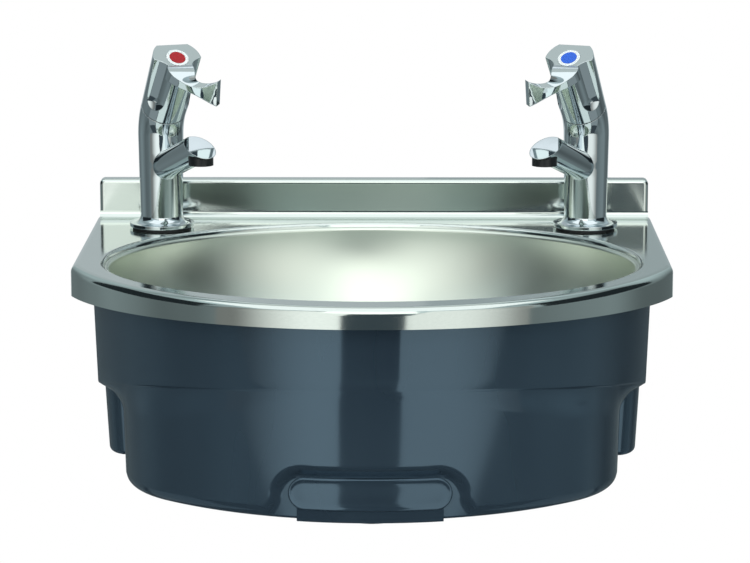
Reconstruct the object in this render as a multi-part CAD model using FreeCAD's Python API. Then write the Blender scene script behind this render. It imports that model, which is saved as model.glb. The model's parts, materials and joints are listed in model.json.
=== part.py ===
"""Wall-hung hand basin: a pressed steel deck and bowl, a moulded apron and two lever pillar taps.

Units are millimetres. +Z is up, the wall is the plane Y = 0 and the front of the basin faces -Y.
The origin is midway between the two wall fixing holes, on the wall.
"""
import math
import os

import FreeCAD
import Part

V = FreeCAD.Vector

# Steel deck: straight sides at the back, one round arc at the front
DECK_WIDTH = 385.0
DECK_DEPTH = 330.0
FRONT_ROUND = 142.0          # depth of the front arc
DECK_SIDE = DECK_DEPTH - FRONT_ROUND     # straight side, wall to front arc
DECK_CORNER_R = 14.0         # where a side meets the front arc
DECK_EDGE_R = 5.0            # rolled top edge
SHEET = 1.2
RIM_Z = 45.0                 # deck surface above the wall fixing holes
SKIRT_FRONT = 13.5           # depth of the down-turned edge at the front
SKIRT_CORNER = 20.5          # and where the straight sides end

# Upstand along the wall, and the flange that takes the wall screws
SPLASH_END = 3.0             # upstand's ends inside the deck's sides
SPLASH_WIDTH = DECK_WIDTH - 2 * SPLASH_END
SPLASH_HEIGHT = 27.0
SPLASH_DEPTH = 10.0
SPLASH_EDGE_R = 3.5
SPLASH_COVE_R = 5.0
FLANGE_END = 42.5            # flange's ends inside the deck's sides
FLANGE_WIDTH = DECK_WIDTH - 2 * FLANGE_END
FLANGE_DROP = 62.0
FLANGE_SHEET = 1.5
FIXING_END = 30.0            # wall holes inside the flange's ends
FIXING_SPACING = FLANGE_WIDTH - 2 * FIXING_END
FIXING_R = 4.5

# Oval bowl under the deck
BOWL_SIDE = 20.5             # deck beside the opening
BOWL_FRONT = 22.0            # deck in front of it
BOWL_REAR = 29.0             # from the wall to it
BOWL_CORNER = 16.4           # deck between the opening and the front arc, at its narrowest
BOWL_HALF_DEPTH = (DECK_DEPTH - BOWL_FRONT - BOWL_REAR) / 2
BOWL_CENTRE_Y = -BOWL_REAR - BOWL_HALF_DEPTH
BOWL_DEPTH = 112.0
BOWL_SHEET = 1.0
BOWL_FLANGE = 1.5            # weld flange outside the opening
BOWL_LEDGE = 1.5             # flat ledge inside the deck's lip
BOWL_EDGE_R = 5.0
LIP_R = 3.0                  # deck rolled down into the opening
LIP_DROP = 5.0
WELD_GAP = 0.1               # bowl's flange below the lip
BOWL_TOP = LIP_DROP + WELD_GAP
BOWL_FLAT_R = 40.0           # flat seat round the waste hole
BOWL_SHOULDER = (0.885, 0.50)    # bowl wall part way down: share of the half width, share of the depth
BOWL_HEEL = (0.66, 0.90)         # bowl wall where it turns into the floor

# Moulded apron: an upper band, a round belly below it and a box behind the belly
WALL = 2.2
APRON_TOP_GAP = 0.6          # apron's upper edge below the deck's sheet
BAND_INSET = 12.0            # band's outer face inside the deck's edge, at the deck
BAND_DRAFT = 2.2             # degrees
BELLY_SIDE = 31.7            # belly's sides inside the deck's, at the deck's level
BELLY_STEP = 2.0             # belly behind the band at the front
BELLY_CORNER_R = 83.0        # where a side meets the belly's front
BELLY_DRAFT = 1.6
BELLY_DROP = 25.2            # belly's foot below the bowl's floor
BELLY_BOTTOM = BOWL_DEPTH + BELLY_DROP
BELLY_HEIGHT = 85.2          # belly's foot to the band's lower edge, at the front
LEDGE_FRONT = BELLY_BOTTOM - BELLY_HEIGHT
LEDGE_FALL = 25.0            # band's lower edge, from the front to where the straight sides end
LEDGE_CORNER = LEDGE_FRONT + LEDGE_FALL
BOX_SIDE = 16.5              # box inside the deck's sides, at the deck's level
BOX_HALF = DECK_WIDTH / 2 - BOX_SIDE
BOX_STEP = 12.0              # box's front face behind the end of the straight sides
BOX_FRONT = DECK_SIDE - BOX_STEP
BOX_RISE = 8.2               # box's foot above the belly's
BOX_BOTTOM = BELLY_BOTTOM - BOX_RISE
BOX_CORNER_R = 7.5
BELLY_EDGE_R = 5.0           # round under the belly's foot
BOX_EDGE_R = 2.0
BOTTOM_LIP = 8.0             # turned-in rim round the open underside
APRON_REAR_GAP = 1.0

# Clip plate at the foot of the belly, in an arched recess
RECESS = 1.7
ARCH_FOOT = 119.0
ARCH_FLARE = 17.0            # each side
ARCH_TOP = ARCH_FOOT - 2 * ARCH_FLARE
ARCH_HEIGHT = 34.6
ARCH_SHOULDER = (0.72, 0.80)     # arch's side: share of the flare, share of the height
PLATE_END = 8.5              # plate's ends inside the arch's foot
PLATE_WIDTH = ARCH_FOOT - 2 * PLATE_END
PLATE_HEAD = 14.1            # plate's height less than the arch's
PLATE_HEIGHT = ARCH_HEIGHT - PLATE_HEAD
PLATE_RISE = 7.1             # plate's lower edge above the belly's bottom
PLATE_CLEAR = 0.1
TAB_END = 5.0                # tab's ends inside the plate's
TAB_WIDTH = PLATE_WIDTH - 2 * TAB_END
TAB_DROP = 0.4               # tab's lower edge below the belly's bottom
PEG_R = 2.4                  # pegs that hold the plate, through the apron's wall
PEG_SPACING = 60.0
PEG_LENGTH = 6.0

# Brackets that hold the apron, and their screws
BRACKET_SHEET = 1.5
BRACKET_HEIGHT = 72.0
BRACKET_DEPTH = 30.0
BRACKET_LEG = 14.0
BRACKET_WALL = 4.0           # bracket's back edge from the wall
BRACKET_GAP = 0.3
SCREW_R = 2.0
SCREW_LENGTH = 12.0
SCREW_HEAD_R = 4.0
SCREW_HEAD = 2.2
SCREW_PITCH = 22.0
SCREW_FOOT = 10.0            # lower screw above the bracket's foot
SCREW_CLEAR = 0.3

# Waste: a flanged tail through the bowl, with a strainer and a backnut
WASTE_HOLE_R = 22.5
WASTE_TAIL_R = 20.95
WASTE_BORE_R = 17.0
WASTE_LENGTH = 60.0
WASTE_FREE = 42.0            # connecting thread below the tail's relief
WASTE_FLANGE_R = 32.0
WASTE_FLANGE = 2.6
WASTE_SEAL = 1.5
STRAINER_R = 18.8
STRAINER = 1.6
STRAINER_HOLE_R = 2.3
STRAINER_RINGS = ((7.0, 6), (13.0, 12))      # radius and number of holes
LOWER_SEAL = 3.0
WASTE_NUT = 9.0
WASTE_NUT_FLATS = 58.0

# Pillar taps, a mirrored pair: left is hot, right is cold
TAP_SIDE = 48.5              # tap's axis inside the deck's side
TAP_X = DECK_WIDTH / 2 - TAP_SIDE
TAP_Y = -48.0
TAP_TURN = 24.0              # spout's turn towards the bowl's middle
TAP_HOLE_R = 11.5
TAP_SEAL = 1.5
FOOT_R = 21.8
FOOT_THICK = 2.4
FOOT_FLARE = 5.0
COLUMN_FOOT_R = 14.3
BARREL_R = 15.3
ELBOW_Z = 64.0               # column's top, above the deck
ELBOW_R = 30.0
LEAN = 37.0                  # head's lean towards the front
TAIL_R = 10.45
TAIL_BORE_R = 6.5
TAIL_LENGTH = 56.0
TAIL_FREE = 38.0             # connecting thread below the tail's relief
RELIEF = 2.0                 # length of a thread relief
RELIEF_DEPTH = 0.6
NUT_FLATS = 27.0
NUT_THICK = 8.0
WASHER_R = 19.0
WASHER_THICK = 4.0
FIT = 0.05                   # radial clearance on a shaft or thread

# Spout and its outlet
SPOUT_R = 9.8
SPOUT_RISE = 18.0
SPOUT_Z = 40.5               # where the spout's axis leaves the column's
SPOUT_REACH = 75.0           # to the middle of its sloping end face
SPOUT_FACE_SLOPE = 20.0      # end face's fall towards the tip
SPOUT_BORE_R = 4.5
SPOUT_BORE_DROP = 3.0        # waterway's axis below the spout's
OUTLET_REACH = 77.0
OUTLET_R = 8.2
OUTLET_BORE_R = 5.0
OUTLET_Z = 53.5              # outlet's lower edge above the deck
OUTLET_TOP = 60.0
WATERWAY_LAP = 1.0           # how far one waterway runs into the next

# Headwork inside the barrel, measured along its axis from the joint between body and handle
CARTRIDGE_R = 9.0
CARTRIDGE_DEPTH = 16.0
CARTRIDGE_RISE = 7.0
CARTRIDGE_WALL = 1.0
DISC_R = 7.6
DISC_THICK = 3.0
DISC_PORT_R = 2.4
DISC_PORT_OFFSET = 3.8
SEAT_SEAL = 2.0
SEAT_BORE_R = 5.0
SPINDLE_R = 4.0
SPINDLE_TOP = 26.0
SPINDLE_FOOT_R = 6.0
SPINDLE_FOOT = 2.5
RUN_GAP = 0.05               # between the two discs
GLAND_R = 12.0
GLAND_FLATS = 20.0
GLAND_THICK = 5.0

# Lever handle, drawn with the spout's direction as its front
HANDLE_LENGTH = 47.0
HANDLE_TOP_R = 16.6
SEAM = 0.7                   # open joint between body and handle
HANDLE_CAVITY_R = 12.6
HANDLE_CAVITY = 14.0
HANDLE_BACK = 12.6           # flat back of the head, from the axis, at the top face
BACK_LEAN = 8.0
SCALLOP_R = 14.0
SCALLOP_WALL = 10.8          # scallop's wall from the axis, at the top face
SCALLOP_LEAN = 2.5
SCALLOP_TURN = 55.0          # each side of the front
SCALLOP_END = 18.0           # middle of the scallop's round lower end, above the joint
BADGE_R = 7.5
BADGE_DEPTH = 3.6
DISC_COLOUR_R = 5.4
DISC_COLOUR_RISE = 0.4
HANDLE_SCREW_R = 2.0
HANDLE_SCREW_LENGTH = 12.0
HANDLE_SCREW_HEAD_R = 3.6
HANDLE_SCREW_HEAD = 2.0
HANDLE_SCREW_SEAT = 6.0      # screw head's seat above the spindle's end

# Lever sections from root to tip: towards the bowl's middle, forwards and below the top face at the
# upper edge, the same at the lower edge, half thickness, and the section's turn from square
LEVER_SECTIONS = (
    ((0.0, 7.0, 0.0), (0.0, 7.0, -8.0), 8.6, 0.0),
    ((0.6, 20.4, 0.0), (0.6, 19.4, -6.6), 6.3, 6.0),
    ((8.8, 24.6, -2.4), (8.8, 25.6, -8.6), 3.3, 40.0),
    ((14.6, 26.4, -0.6), (14.6, 30.0, -10.6), 2.4, 38.0),
    ((20.8, 26.6, 3.0), (20.6, 35.0, -11.6), 1.9, 36.0),
)

LARGE = DECK_WIDTH + 15.0    # tool size, larger than any piece


def tan_deg(angle):
    return math.tan(math.radians(angle))


def at(shape, x=0.0, y=0.0, z=0.0):
    moved = shape.copy()
    moved.translate(V(x, y, z))
    return moved


def turned(shape, angle, axis, centre=V(0, 0, 0)):
    moved = shape.copy()
    moved.rotate(centre, axis, angle)
    return moved


def edges_where(shape, test):
    return [edge for edge in shape.Edges if test(edge)]


def box(x0, x1, y0, y1, z0, z1):
    return Part.makeBox(x1 - x0, y1 - y0, z1 - z0, V(x0, y0, z0))


def cylinder(radius, z0, z1, x=0.0, y=0.0):
    return Part.makeCylinder(radius, z1 - z0, V(x, y, z0))


def ring(outer, inner, z0, z1):
    return cylinder(outer, z0, z1).cut(cylinder(inner, z0, z1))


def relief(radius, z):
    """Ring that cuts a thread relief upwards from a height."""
    return ring(2 * radius, radius - RELIEF_DEPTH, z, z + RELIEF)


def hexagon(flats, z0, z1):
    corner = flats / math.sqrt(3.0)
    points = [V(corner * math.cos(math.radians(60 * k)), corner * math.sin(math.radians(60 * k)), z0)
              for k in range(7)]
    return Part.Face(Part.makePolygon(points)).extrude(V(0, 0, z1 - z0))


def below_plane(y_a, z_a, y_b, z_b):
    """Everything below a plane that passes through two (y, z) points and runs level along X."""
    slope = (z_b - z_a) / (y_b - y_a)
    points = [V(-LARGE, y, z_a + slope * (y - y_a)) for y in (-2 * LARGE, LARGE)]
    points += [V(-LARGE, LARGE, -2 * LARGE), V(-LARGE, -2 * LARGE, -2 * LARGE)]
    face = Part.Face(Part.makePolygon(points + points[:1]))
    return face.extrude(V(2 * LARGE, 0, 0))


def front_arc(width, depth, side):
    """Radius and centre of the deck's front arc, from its width, depth and straight side."""
    half = width / 2
    rise = depth - side
    radius = (half * half + rise * rise) / (2 * rise)
    return radius, radius - depth


ARC_R, ARC_Y = front_arc(DECK_WIDTH, DECK_DEPTH, DECK_SIDE)


def widest_oval(half_depth, offset, radius):
    """Half width of the widest oval inside a circle, from its half depth and its centre's offset."""
    total = radius ** 2 + half_depth ** 2 - offset ** 2
    return math.sqrt((total + math.sqrt(total ** 2 - 4 * half_depth ** 2 * radius ** 2)) / 2)


# The belly's front is a tighter arc, a step behind the band
BELLY_HALF = DECK_WIDTH / 2 - BELLY_SIDE
BELLY_R = ARC_R
BELLY_CENTRE_Y = BELLY_R + BAND_INSET + BELLY_STEP - DECK_DEPTH

# The opening is as wide as the deck's sides and its front arc both leave room for
BOWL_HALF_WIDTH = min(DECK_WIDTH / 2 - BOWL_SIDE,
                      widest_oval(BOWL_HALF_DEPTH, ARC_Y - BOWL_CENTRE_Y, ARC_R - BOWL_CORNER))


def deck_outline(inset, z, back):
    """Closed outline of the deck, drawn in by an inset, with its back edge at Y = back."""
    half = DECK_WIDTH / 2 - inset
    radius = ARC_R - inset
    side = ARC_Y - math.sqrt(radius * radius - half * half)
    corners = [V(-half, back, z), V(-half, side, z), V(half, side, z), V(half, back, z)]
    front = V(0, ARC_Y - radius, z)
    return Part.Wire([
        Part.LineSegment(corners[0], corners[1]).toShape(),
        Part.Arc(corners[1], front, corners[2]).toShape(),
        Part.LineSegment(corners[2], corners[3]).toShape(),
        Part.LineSegment(corners[3], corners[0]).toShape(),
    ])


def deck_block(inset, z0, z1, back, edge_r):
    """Deck-shaped block with rounded corners and a rolled top edge."""
    block = Part.Face(deck_outline(inset, z0, back)).extrude(V(0, 0, z1 - z0))
    upright = edges_where(block, lambda e: abs(e.tangentAt(e.FirstParameter).z) > 0.9
                          and e.CenterOfMass.y < -DECK_SIDE / 2)
    block = block.makeFillet(DECK_CORNER_R - inset, upright)
    top = edges_where(block, lambda e: abs(e.BoundBox.ZMin - z1) < 1e-6
                      and abs(e.BoundBox.ZMax - z1) < 1e-6 and e.BoundBox.YMin < back - 1)
    return block.makeFillet(edge_r, top)


def oval(shape):
    """A round shape about Z, squeezed front to back into the bowl's oval and set at its centre."""
    squeeze = FreeCAD.Matrix()
    squeeze.scale(V(1.0, BOWL_HALF_DEPTH / BOWL_HALF_WIDTH, 1.0))
    return at(shape.transformGeometry(squeeze), 0, BOWL_CENTRE_Y, RIM_Z)


def spun(edges):
    """Solid of revolution about Z from a closed chain of edges in the XZ plane."""
    return Part.Face(Part.Wire(edges)).revolve(V(0, 0, 0), V(0, 0, 1), 360)


def chain(*points):
    return [Part.LineSegment(a, b).toShape() for a, b in zip(points, points[1:])]


def rolled_lip():
    """Deck's inner edge, rolled down into the opening."""
    r0 = BOWL_HALF_WIDTH
    r1 = r0 + LIP_R
    diagonal = math.sqrt(0.5)
    outside = Part.Arc(V(r1, 0, 0), V(r1 - LIP_R * diagonal, 0, LIP_R * (diagonal - 1)), V(r0, 0, -LIP_R))
    small = LIP_R - SHEET
    inside = Part.Arc(V(r0 + SHEET, 0, -LIP_R), V(r1 - small * diagonal, 0, small * diagonal - LIP_R),
                      V(r1, 0, -SHEET))
    weld = r1 + SHEET
    edges = [outside.toShape(), inside.toShape()]
    edges += chain(V(r0, 0, -LIP_R), V(r0, 0, -LIP_DROP), V(r0 + SHEET, 0, -LIP_DROP), V(r0 + SHEET, 0, -LIP_R))
    edges += chain(V(r1, 0, -SHEET), V(weld, 0, -SHEET), V(weld, 0, 0), V(r1, 0, 0))
    return oval(spun(Part.__sortEdges__(edges)))


def upstand():
    """Hollow upstand along the wall, open at the back, with a cove at its foot."""
    half = SPLASH_WIDTH / 2
    low = RIM_Z - SHEET
    top = RIM_Z + SPLASH_HEIGHT
    block = box(-half, half, -SPLASH_DEPTH, 0, low, top)
    ends = edges_where(block, lambda e: e.BoundBox.YLength > 1 and e.BoundBox.ZMin > top - 1)
    block = block.makeFillet(SPLASH_EDGE_R, ends)
    front = edges_where(block, lambda e: e.BoundBox.YMax < 1 - SPLASH_DEPTH and e.BoundBox.ZMax > low + 1)
    block = block.makeFillet(SPLASH_EDGE_R - SHEET / 2, front)
    hollow = box(SHEET - half, half - SHEET, SHEET - SPLASH_DEPTH, 1, RIM_Z - 2 * SHEET, top - SHEET)
    cove = box(-half, half, -SPLASH_DEPTH - SPLASH_COVE_R, -SPLASH_DEPTH, RIM_Z, RIM_Z + SPLASH_COVE_R)
    centre = V(-half, -SPLASH_DEPTH - SPLASH_COVE_R, RIM_Z + SPLASH_COVE_R)
    cove = cove.cut(Part.makeCylinder(SPLASH_COVE_R, SPLASH_WIDTH, centre, V(1, 0, 0)))
    return block.cut(hollow).fuse(cove)


def wall_flange():
    """Plate down the wall that takes the two wall screws."""
    half = FLANGE_WIDTH / 2
    plate = box(-half, half, -FLANGE_SHEET, 0, RIM_Z - FLANGE_DROP, RIM_Z)
    for side in (-1, 1):
        hole = Part.makeCylinder(FIXING_R, LARGE, V(side * FIXING_SPACING / 2, LARGE / 2, 0), V(0, -1, 0))
        plate = plate.cut(hole)
    return plate


def deck():
    outer = deck_block(0, RIM_Z - 2 * SKIRT_CORNER, RIM_Z, 0, DECK_EDGE_R)
    inner = deck_block(SHEET, RIM_Z - 3 * SKIRT_CORNER, RIM_Z - SHEET, 1, DECK_EDGE_R - SHEET)
    trim = below_plane(-DECK_DEPTH, RIM_Z - SKIRT_FRONT, -DECK_SIDE, RIM_Z - SKIRT_CORNER)
    shell = outer.cut(inner).cut(trim)
    shell = shell.cut(oval(cylinder(BOWL_HALF_WIDTH + LIP_R, -LARGE, LARGE)))
    shell = shell.fuse([rolled_lip(), upstand(), wall_flange()])
    for side in (-1, 1):
        shell = shell.cut(cylinder(TAP_HOLE_R, RIM_Z - 2 * SHEET, RIM_Z + SHEET, side * TAP_X, TAP_Y))
    return shell.removeSplitter()


def bowl_curve(offset):
    """Bowl's wall from its rounded edge to its flat seat, moved outwards by an offset."""
    edge = BOWL_HALF_WIDTH - BOWL_LEDGE - BOWL_EDGE_R
    points = [
        V(edge + offset, 0, -BOWL_TOP - BOWL_EDGE_R),
        V(BOWL_SHOULDER[0] * BOWL_HALF_WIDTH + offset, 0, -BOWL_SHOULDER[1] * BOWL_DEPTH - 0.4 * offset),
        V(BOWL_HEEL[0] * BOWL_HALF_WIDTH + 0.6 * offset, 0, -BOWL_HEEL[1] * BOWL_DEPTH - 0.8 * offset),
        V(BOWL_FLAT_R, 0, -BOWL_DEPTH - offset),
    ]
    curve = Part.BSplineCurve()
    curve.interpolate(Points=points, InitialTangent=V(-0.05, 0, -1), FinalTangent=V(-1, 0, 0))
    return curve.toShape(), points[0], points[-1]


def bowl():
    inside, inner_top, inner_foot = bowl_curve(0.0)
    outside, outer_top, outer_foot = bowl_curve(BOWL_SHEET)
    rim_r = BOWL_HALF_WIDTH + BOWL_FLANGE
    ledge_r = BOWL_HALF_WIDTH - BOWL_LEDGE
    diagonal = math.sqrt(0.5)
    small = BOWL_EDGE_R - BOWL_SHEET
    centre_z = -BOWL_TOP - BOWL_EDGE_R
    round_in = Part.Arc(V(ledge_r, 0, -BOWL_TOP), V(ledge_r - BOWL_EDGE_R * diagonal, 0,
                                                    centre_z + BOWL_EDGE_R * diagonal), inner_top)
    round_out = Part.Arc(V(ledge_r, 0, -BOWL_TOP - BOWL_SHEET),
                         V(ledge_r - small * diagonal, 0, centre_z + small * diagonal), outer_top)
    edges = [inside, outside, round_in.toShape(), round_out.toShape()]
    edges += chain(V(ledge_r, 0, -BOWL_TOP), V(rim_r, 0, -BOWL_TOP), V(rim_r, 0, -BOWL_TOP - BOWL_SHEET),
                   V(ledge_r, 0, -BOWL_TOP - BOWL_SHEET))
    edges += chain(inner_foot, V(0, 0, inner_foot.z), V(0, 0, outer_foot.z), outer_foot)
    pressed = oval(spun(Part.__sortEdges__(edges)))
    return pressed.cut(cylinder(WASTE_HOLE_R, RIM_Z - 2 * BOWL_DEPTH, RIM_Z, 0, BOWL_CENTRE_Y))


def band(inset, back):
    """Apron's upper band, above its sloping lower edge."""
    drop = 2 * LEDGE_CORNER
    top = deck_outline(BAND_INSET + inset, RIM_Z - SHEET, back)
    foot = deck_outline(BAND_INSET + inset + drop * tan_deg(BAND_DRAFT), RIM_Z - SHEET - drop, back)
    block = Part.makeLoft([top, foot], True, True)
    lift = inset
    return block.cut(below_plane(-DECK_DEPTH, RIM_Z - LEDGE_FRONT + lift, -DECK_SIDE, RIM_Z - LEDGE_CORNER + lift))


def belly_outline(inset, z, back):
    """Closed outline of the belly: straight sides, rounded corners and a round front."""
    half = BELLY_HALF - inset
    radius = BELLY_R - inset
    corner = BELLY_CORNER_R - inset
    side = half - corner
    reach = radius - corner
    drop = math.sqrt(reach * reach - side * side)
    mid_y = BELLY_CENTRE_Y - drop
    turn = math.atan2(drop, side) / 2
    corner_end = V(side * radius / reach, BELLY_CENTRE_Y - drop * radius / reach, z)
    corner_mid = V(side + corner * math.cos(turn), mid_y - corner * math.sin(turn), z)
    edges = []
    for x in (-1, 1):
        start = V(x * half, back, z)
        bend = V(x * half, mid_y, z)
        end = V(x * corner_end.x, corner_end.y, z)
        edges.append(Part.LineSegment(start, bend).toShape())
        edges.append(Part.Arc(bend, V(x * corner_mid.x, corner_mid.y, z), end).toShape())
    edges.append(Part.Arc(V(-corner_end.x, corner_end.y, z), V(0, BELLY_CENTRE_Y - radius, z), corner_end).toShape())
    edges.append(Part.LineSegment(V(-half, back, z), V(half, back, z)).toShape())
    return Part.Wire(Part.__sortEdges__(edges))


def belly(inset, bottom, back):
    """Round-fronted belly, drawn in by an inset, down to a depth below the rim."""
    drop = (bottom - SHEET) * tan_deg(BELLY_DRAFT)
    top = belly_outline(inset, RIM_Z - SHEET, back)
    foot = belly_outline(inset + drop, RIM_Z - bottom, back)
    return Part.makeLoft([top, foot], True, True)


def rear_box(inset, bottom, back):
    """Box between the belly and the wall."""
    height = bottom - SHEET
    wires = []
    for drop, z in ((0.0, RIM_Z - SHEET), (height * tan_deg(BELLY_DRAFT), RIM_Z - bottom)):
        half = BOX_HALF - inset - drop
        front = inset + drop - BOX_FRONT
        points = [V(-half, back, z), V(-half, front, z), V(half, front, z), V(half, back, z)]
        wires.append(Part.makePolygon(points + points[:1]))
    block = Part.makeLoft(wires, True, True)
    if inset < BOX_CORNER_R:
        corners = edges_where(block, lambda e: e.BoundBox.YMax < -BOX_FRONT / 2 and e.BoundBox.ZLength > 1)
        block = block.makeFillet(BOX_CORNER_R - inset, corners)
    return block


def with_rounded_foot(block, bottom, radius):
    foot = edges_where(block, lambda e: e.BoundBox.ZMax < RIM_Z - bottom + 1e-3
                       and e.BoundBox.YMin < -APRON_REAR_GAP - 1)
    return block.makeFillet(radius, foot)


def arch_outline(y):
    """Arched recess at the foot of the belly, open at the bottom."""
    foot = RIM_Z - BELLY_BOTTOM
    half_foot = ARCH_FOOT / 2
    half_top = ARCH_TOP / 2
    low = foot - TAB_DROP
    top = foot + ARCH_HEIGHT
    side = half_foot - half_top
    points = [V(-half_foot, y, foot), V(-half_top, y, top), V(half_top, y, top), V(half_foot, y, foot)]
    bend = [V(x * (half_top + ARCH_SHOULDER[0] * side), y, foot + ARCH_SHOULDER[1] * ARCH_HEIGHT)
            for x in (-1, 1)]
    return Part.Wire([
        Part.Arc(points[0], bend[0], points[1]).toShape(),
        Part.LineSegment(points[1], points[2]).toShape(),
        Part.Arc(points[2], bend[1], points[3]).toShape(),
        *chain(points[3], V(half_foot, y, low), V(-half_foot, y, low), points[0]),
    ])


def plate_outline(y):
    """Round-ended clip plate."""
    radius = PLATE_HEIGHT / 2
    flat = PLATE_WIDTH / 2 - radius
    low = RIM_Z - BELLY_BOTTOM + PLATE_RISE
    mid = low + radius
    high = low + PLATE_HEIGHT
    return Part.Wire([
        Part.LineSegment(V(-flat, y, low), V(flat, y, low)).toShape(),
        Part.Arc(V(flat, y, low), V(flat + radius, y, mid), V(flat, y, high)).toShape(),
        Part.LineSegment(V(flat, y, high), V(-flat, y, high)).toShape(),
        Part.Arc(V(-flat, y, high), V(-flat - radius, y, mid), V(-flat, y, low)).toShape(),
    ])


def front_prism(outline):
    """An outline on the wall plane, drawn forwards through the front of the belly."""
    return Part.Face(outline(-BOX_FRONT)).extrude(V(0, -DECK_DEPTH, 0))


def front_skin(outer_inset, inner_inset):
    """Thin layer that follows the belly's face, from one inset to another."""
    deep = BELLY_BOTTOM + 2 * TAB_DROP
    back = -BOX_FRONT / 2
    return belly(outer_inset, deep, back).cut(belly(inner_inset, deep, back - 1))


def pegs(radius, length):
    """Two pegs behind the clip plate."""
    z = RIM_Z - BELLY_BOTTOM + PLATE_RISE + PLATE_HEIGHT / 2
    found = []
    for x in (-PEG_SPACING / 2, PEG_SPACING / 2):
        face = belly_front_y(x, z, RECESS - PLATE_CLEAR)
        found.append(Part.makeCylinder(radius, length, V(x, face - PLATE_CLEAR, z), V(0, 1, 0)))
    return found


def belly_front_y(x, z, inset):
    """Where the belly's front face, drawn in by an inset, lies at a place across and up it."""
    radius = BELLY_R - inset - (RIM_Z - SHEET - z) * tan_deg(BELLY_DRAFT)
    return BELLY_CENTRE_Y - math.sqrt(radius * radius - x * x)


def apron():
    rear = -APRON_REAR_GAP
    lower = with_rounded_foot(belly(0, BELLY_BOTTOM, rear), BELLY_BOTTOM, BELLY_EDGE_R)
    behind = with_rounded_foot(rear_box(0, BOX_BOTTOM, rear), BOX_BOTTOM, BOX_EDGE_R)
    outer = band(0, rear).fuse([lower, behind])
    open_back = 1.0
    inner = band(WALL, open_back).fuse([
        belly(WALL, BELLY_BOTTOM - WALL, open_back), rear_box(WALL, BOX_BOTTOM - WALL, open_back),
    ])
    arch = front_prism(arch_outline)
    inner = inner.cut(arch.cut(belly(RECESS + WALL, 2 * BELLY_BOTTOM, open_back)))
    underside = belly(BOTTOM_LIP, 2 * BELLY_BOTTOM, open_back).fuse(
        rear_box(BOTTOM_LIP, 2 * BELLY_BOTTOM, open_back))
    recess = arch.cut(belly(RECESS, 2 * BELLY_BOTTOM, open_back))
    top = RIM_Z - SHEET - APRON_TOP_GAP
    shell = outer.cut([inner, underside, recess, box(-LARGE, LARGE, -LARGE, LARGE, top, RIM_Z)])
    for hole in screw_places():
        shell = shell.cut(Part.makeCylinder(SCREW_R + SCREW_CLEAR, 4 * WALL, hole - V(2 * WALL, 0, 0), V(1, 0, 0)))
    for peg in pegs(PEG_R + PLATE_CLEAR, PEG_LENGTH + WALL):
        shell = shell.cut(peg)
    return shell.removeSplitter()


def clip_plate():
    """Bare round-ended plate over a tab that reaches the belly's foot, held by two pegs."""
    plate = front_prism(plate_outline).common(front_skin(PLATE_CLEAR, RECESS - PLATE_CLEAR))
    foot = RIM_Z - BELLY_BOTTOM
    tab = box(-TAB_WIDTH / 2, TAB_WIDTH / 2, -DECK_DEPTH, -BOX_FRONT, foot - TAB_DROP,
              foot + PLATE_RISE + PLATE_HEIGHT / 2)
    tab = tab.common(front_skin(RECESS / 2, RECESS - PLATE_CLEAR))
    return plate.fuse([tab, *pegs(PEG_R, PEG_LENGTH)]).removeSplitter()


def band_wall_x(z, inset):
    """Half width of the band's side at a height."""
    return DECK_WIDTH / 2 - BAND_INSET - inset - (RIM_Z - SHEET - z) * tan_deg(BAND_DRAFT)


def screw_places():
    """Outer ends of the apron screws on both sides, on the band's outer face."""
    places = []
    for side in (-1, 1):
        for step in (0, 1):
            z = RIM_Z - SHEET - BRACKET_HEIGHT + SCREW_FOOT + step * SCREW_PITCH
            places.append(V(side * band_wall_x(z, 0), -BRACKET_WALL - BRACKET_DEPTH / 2, z))
    return places


def apron_bracket(side):
    """Angle welded under the deck's back corner, inside the apron's side."""
    top = RIM_Z - SHEET
    foot = top - BRACKET_HEIGHT
    face = band_wall_x(foot, WALL) - BRACKET_GAP
    back = -BRACKET_WALL
    upright = box(face - BRACKET_SHEET, face, back - BRACKET_DEPTH, back, foot, top)
    ledge = box(face - BRACKET_LEG, face, back - BRACKET_DEPTH, back, top - BRACKET_SHEET, top)
    angle = upright.fuse(ledge).removeSplitter()
    for place in screw_places():
        if place.x > 0:
            angle = angle.cut(Part.makeCylinder(SCREW_R, LARGE, V(0, place.y, place.z), V(1, 0, 0)))
    return angle if side > 0 else angle.mirror(V(0, 0, 0), V(1, 0, 0))


def apron_screws():
    screws = []
    for place in screw_places():
        side = math.copysign(1, place.x)
        lean = SCREW_HEAD_R * tan_deg(BAND_DRAFT)
        seat = V(place.x + side * lean, place.y, place.z)
        head = Part.makeCylinder(SCREW_HEAD_R, SCREW_HEAD, seat, V(side, 0, 0))
        crown = edges_where(head, lambda e: abs(e.CenterOfMass.x) > abs(seat.x) + SCREW_HEAD - 1e-6)
        head = head.makeFillet(SCREW_HEAD * 0.7, crown)
        shank = Part.makeCylinder(SCREW_R - FIT, SCREW_LENGTH, seat, V(-side, 0, 0))
        screws.append(head.fuse(shank).removeSplitter())
    return Part.makeCompound(screws)


def on_waste(shape):
    """Waste pieces are drawn from the bowl's flat seat upwards, then set on its centre."""
    return at(shape, 0, BOWL_CENTRE_Y, RIM_Z - BOWL_DEPTH)


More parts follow.
